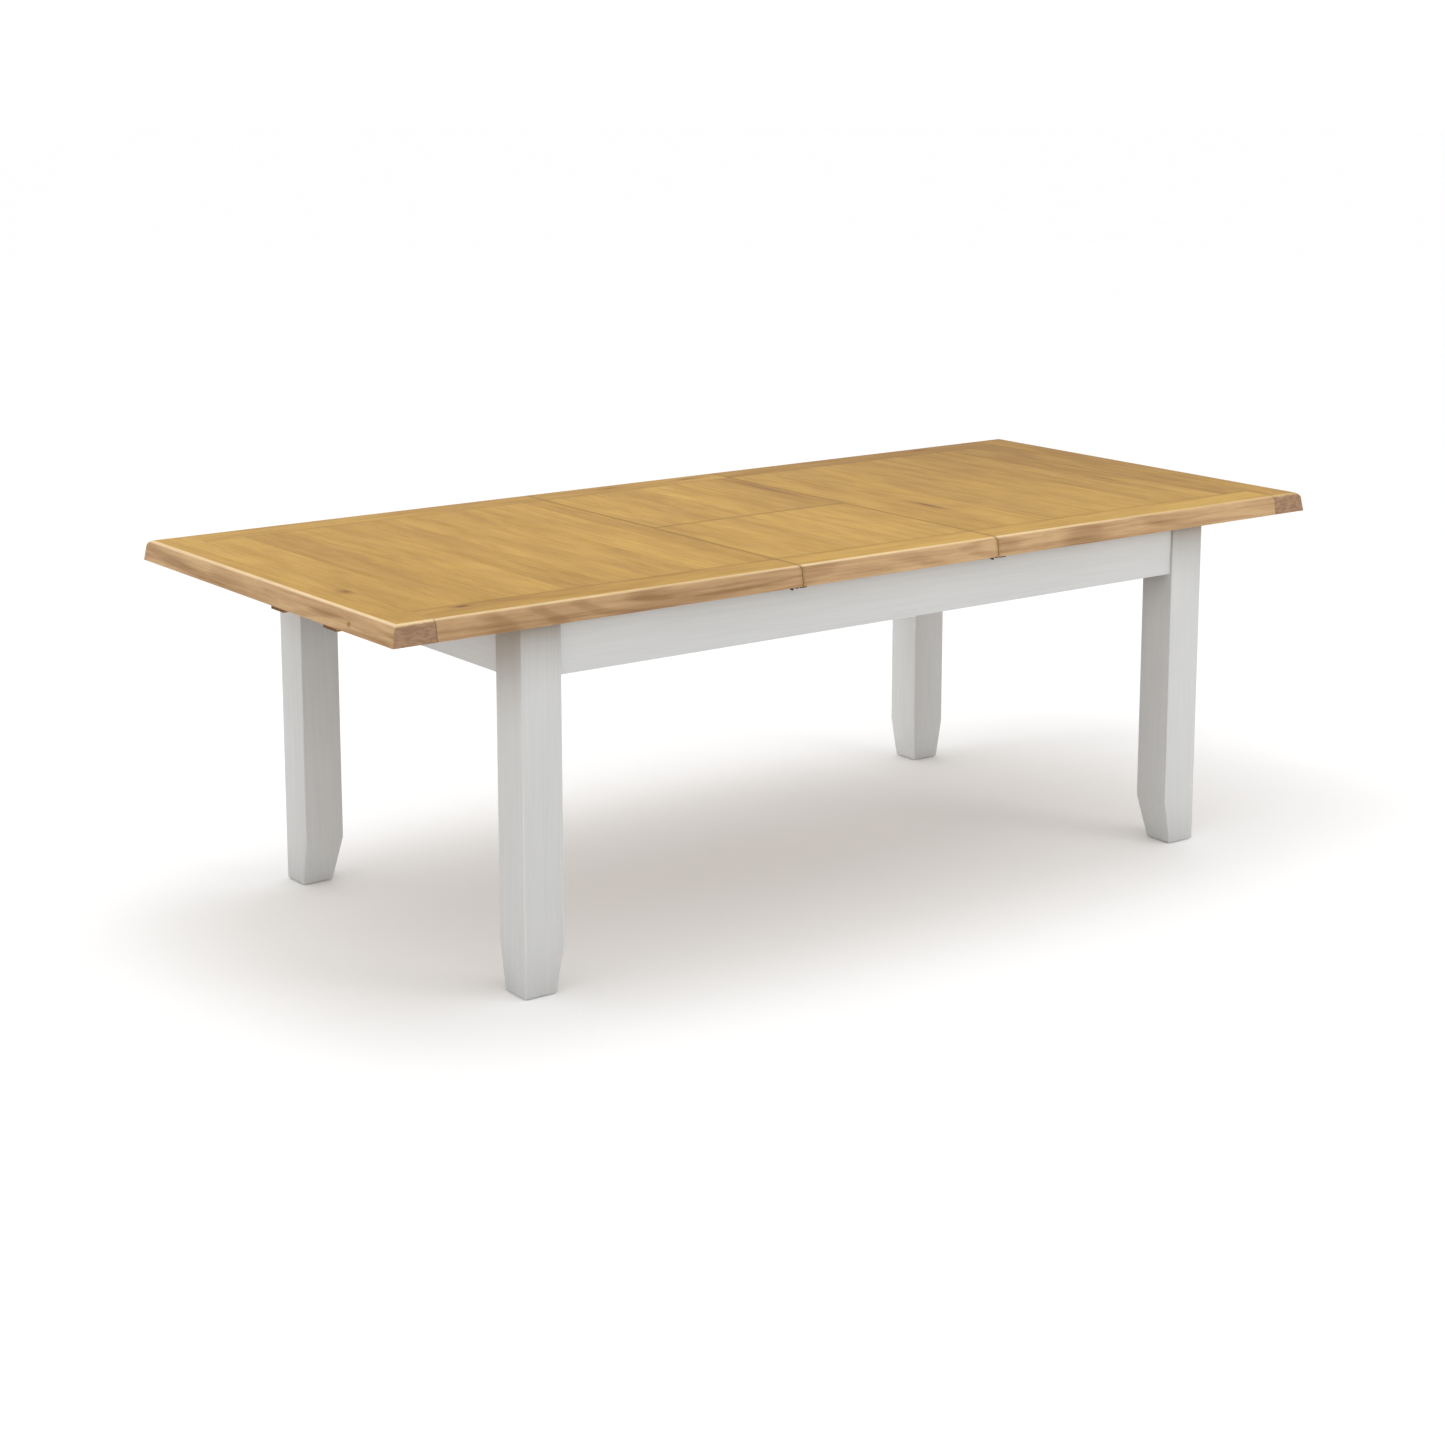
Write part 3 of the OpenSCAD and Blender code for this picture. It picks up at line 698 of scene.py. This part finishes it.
# Each panel's body, the places of its planks' joints and the tones of its planks.
PANELS = {
    "left_panel": (
        "left_top",
        (-0.97, -0.86, -0.73, -0.635, -0.54, -0.43, -0.31),
        (-0.04, 0.07, 0.02, 0.12, 0.03, 0.10, 0.0, 0.12),
    ),
    "right_panel": (
        "right_top",
        (0.345, 0.46, 0.585, 0.70, 0.80, 0.90, 0.985),
        (0.05, -0.03, 0.03, 0.11, 0.02, 0.14, 0.11, 0.24),
    ),
    "leaf_front_panel": (
        "front_leaf", (-0.15, -0.04, 0.08, 0.185), (0.06, -0.08, -0.04, 0.04, 0.0)
    ),
    "leaf_back_panel": (
        "back_leaf", (-0.13, 0.0, 0.10, 0.205), (0.0, 0.04, -0.04, 0.06, 0.20)
    ),
}


def make_oak(name, run, **details):
    return make_wood(name, run, OAK_LIGHT, OAK_DARK, OAK_END, drift=0.36, **details)


def make_top():
    edge = (OAK_EDGE_LIGHT, OAK_EDGE_DARK)
    half_oak = make_oak(
        "oak_planks", 1, knots=RIGHT_PANEL_KNOTS, seams=(RAIL_JOINT, END_JOINT, LEAF_JOINT)
    )
    leaf_oak = make_oak(
        "oak_leaf_planks", 1, knots=LEAF_KNOTS, seams=(RAIL_JOINT, LEAF_JOINT, FOLD_JOINT)
    )
    end_oak = make_oak(
        "oak_end_board", 1, edge=edge, knots=LEFT_END_KNOTS, seams=(END_JOINT,)
    )
    rail_oak = make_oak(
        "oak_rail", 0, edge=edge, knots=RAIL_KNOTS, seams=(RAIL_JOINT, LEAF_JOINT)
    )
    for side, grain, tone in (("left", 2.0, -0.04), ("right", 3.0, 0.08)):
        make_piece(
            f"{side}_end_board_moulded", [end_board(side)], end_oak, f"{side}_top",
            [f"{side}_end_board"], BOARD_EASE, {"grain": [grain], "tone": [tone]},
        )
    for number, (node, tone) in enumerate(RAIL_TONES.items()):
        make_piece(
            f"{node}_moulded", [edge_rail(node)], rail_oak,
            frame["nodes"][node]["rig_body"], [node], BOARD_EASE,
            {"grain": [4.0 + 0.7 * number], "tone": [tone]},
        )
    for node, (body, joints, tones) in PANELS.items():
        planked_panel(node, joints, tones, leaf_oak if "leaf" in node else half_oak, body)
    for node, material, grain in (
        ("left_seam_strip", half_oak, 1.3), ("right_seam_strip", half_oak, 2.3),
        ("leaf_back_fold_strip", rail_oak, 3.3), ("leaf_front_fold_strip", rail_oak, 4.3),
    ):
        ease_node(node, material, STRIP_EASE, grain)


# ---------------------------------------------------------------- the painted frame

LEG_BREAK = 0.096
LEG_SLOPE = 0.0175
SOFT_BREAK = 0.003
FOOT_EASE = 0.0014


def tapered_leg(node):
    """A square leg with rounded arrises. Below LEG_BREAK, the two faces that look at
    the middle of the table slope in by LEG_SLOPE to a narrower foot; the outer faces
    stay upright. Returns the shell and, for each point, 1 where it is on an arris."""
    low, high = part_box(node)
    inward = (-np.sign(low.x), -np.sign(low.y))
    # Heights, and the share of the slope that is reached at each.
    levels = [
        (low.z, 1.0), (low.z + FOOT_EASE, 1.0), (LEG_BREAK - SOFT_BREAK, 0.03),
        (LEG_BREAK, 0.008), (LEG_BREAK + SOFT_BREAK, 0.0), (0.3, 0.0), (0.5, 0.0),
        (high.z, 0.0),
    ]
    rings, arris = [], []
    for number, (height, share) in enumerate(levels):
        shrink = FOOT_EASE if number == 0 else 0.0
        near = [low.x + shrink, low.y + shrink]
        far = [high.x - shrink, high.y - shrink]
        for axis in (0, 1):
            if inward[axis] > 0:
                far[axis] -= LEG_SLOPE * share
            else:
                near[axis] += LEG_SLOPE * share
        outline = rounded_outline(near, far, 5)
        rings.append(np.column_stack([outline, np.full(len(outline), height)]))
        arris.append(np.tile([0.0, 1.0, 1.0, 1.0, 0.0], 4))
    return loft(rings), np.concatenate(arris)


def make_frame():
    upright = make_paint("grey_paint_legs", 2)
    lengthways = make_paint("grey_paint_long_aprons", 0)
    endways = make_paint("grey_paint_end_aprons", 1)
    for place in ("front_left", "front_right", "back_left", "back_right"):
        shell, arris = tapered_leg(f"leg_{place}")
        make_piece(
            f"leg_{place}_tapered", [shell], upright, "frame", [f"leg_{place}"],
            0.0, {"arris": [arris]},
        )
    for node, material in (
        ("apron_front", lengthways), ("apron_back", lengthways),
        ("apron_left_end", endways), ("apron_right_end", endways),
    ):
        ease_node(node, material, APRON_EASE)


def make_running_gear():
    """The bare wood under the top is eased, and the fixings, catches and glides keep
    their meshes and get their finishes."""
    timber = (FRAME_LIGHT, FRAME_DARK, tinted(FRAME_DARK, 0.8), 0.6)
    lengthways = make_wood("frame_wood_lengthways", 0, *timber)
    crossways = make_wood("frame_wood_crossways", 1, *timber)
    upright = make_wood("frame_wood_blocks", 2, *timber)
    wood_for = {
        "runner": (lengthways, RUNNER_EASE), "guide": (lengthways, BLOCK_EASE),
        "cross_rail": (crossways, RAIL_EASE), "corner_block": (upright, BLOCK_EASE),
    }
    finish_for = {
        "zinc_steel": make_metal(
            "zinc_plate", (0.66, 0.67, 0.68), (0.47, 0.48, 0.49), 0.34, 1.0
        ),
        "bronze": make_metal(
            "dark_bronze", (0.13, 0.09, 0.055), (0.07, 0.05, 0.035), 0.42, 0.85
        ),
        "nylon": make_plastic("nylon_glide", (0.70, 0.68, 0.64), 0.5),
    }
    for number, (node, thing) in enumerate(sorted(frame["nodes"].items())):
        if thing.hide_render:
            continue
        wooden = [word for word in wood_for if word in node and "screws" not in node]
        if wooden:
            material, ease = wood_for[wooden[0]]
            ease_node(node, material, ease, 0.37 * number)
            continue
        for socket in thing.material_slots:
            socket.material = finish_for[socket.material.name]


# ---------------------------------------------------------------- the floor

FLOOR_RINGS = np.array([1.0, 2.5, 6.0, 15.0, 40.0])
FLOOR_SPOKES = 64


def make_floor():
    """A pale matt floor: rings of points round the table's middle, with quads between
    neighbouring rings and one flat face inside the first."""
    turn = np.linspace(0.0, 2 * np.pi, FLOOR_SPOKES + 1)[:-1]
    x, y = np.outer(FLOOR_RINGS, np.cos(turn)), np.outer(FLOOR_RINGS, np.sin(turn))
    points = np.stack([x, y, np.zeros_like(x)], -1).reshape(-1, 3)
    gaps, spokes = np.arange(len(FLOOR_RINGS) - 1), np.arange(FLOOR_SPOKES)
    i, j = np.meshgrid(gaps * FLOOR_SPOKES, spokes, indexing="ij")
    k = (j + 1) % FLOOR_SPOKES
    quads = np.stack([i + j, i + FLOOR_SPOKES + j, i + FLOOR_SPOKES + k, i + k], -1)
    faces = quads.reshape(-1, 4).tolist() + [spokes.tolist()]
    mesh = bpy.data.meshes.new("floor")
    mesh.from_pydata(points.tolist(), [], faces)
    mesh.update()
    pale = Finish("pale_floor")
    where, _ = pale.place()
    cloud = pale.noise(pale.stretched(pale.split(where), 3.0, 3.0, 3.0), 2.0)
    colour = pale.blend(cloud, (0.95, 0.95, 0.95), (0.93, 0.93, 0.93))
    pale.join(pale.shader.inputs["Base Color"], colour)
    pale.shader.inputs["Roughness"].default_value = 0.9
    pale.shader.inputs["Specular IOR Level"].default_value = 0.1
    mesh.materials.append(pale.material)
    floor = bpy.data.objects.new("floor", mesh)
    bpy.context.scene.collection.objects.link(floor)


# ---------------------------------------------------------------- everything

make_camera()
make_studio()
make_floor()
make_top()
make_frame()
make_running_gear()
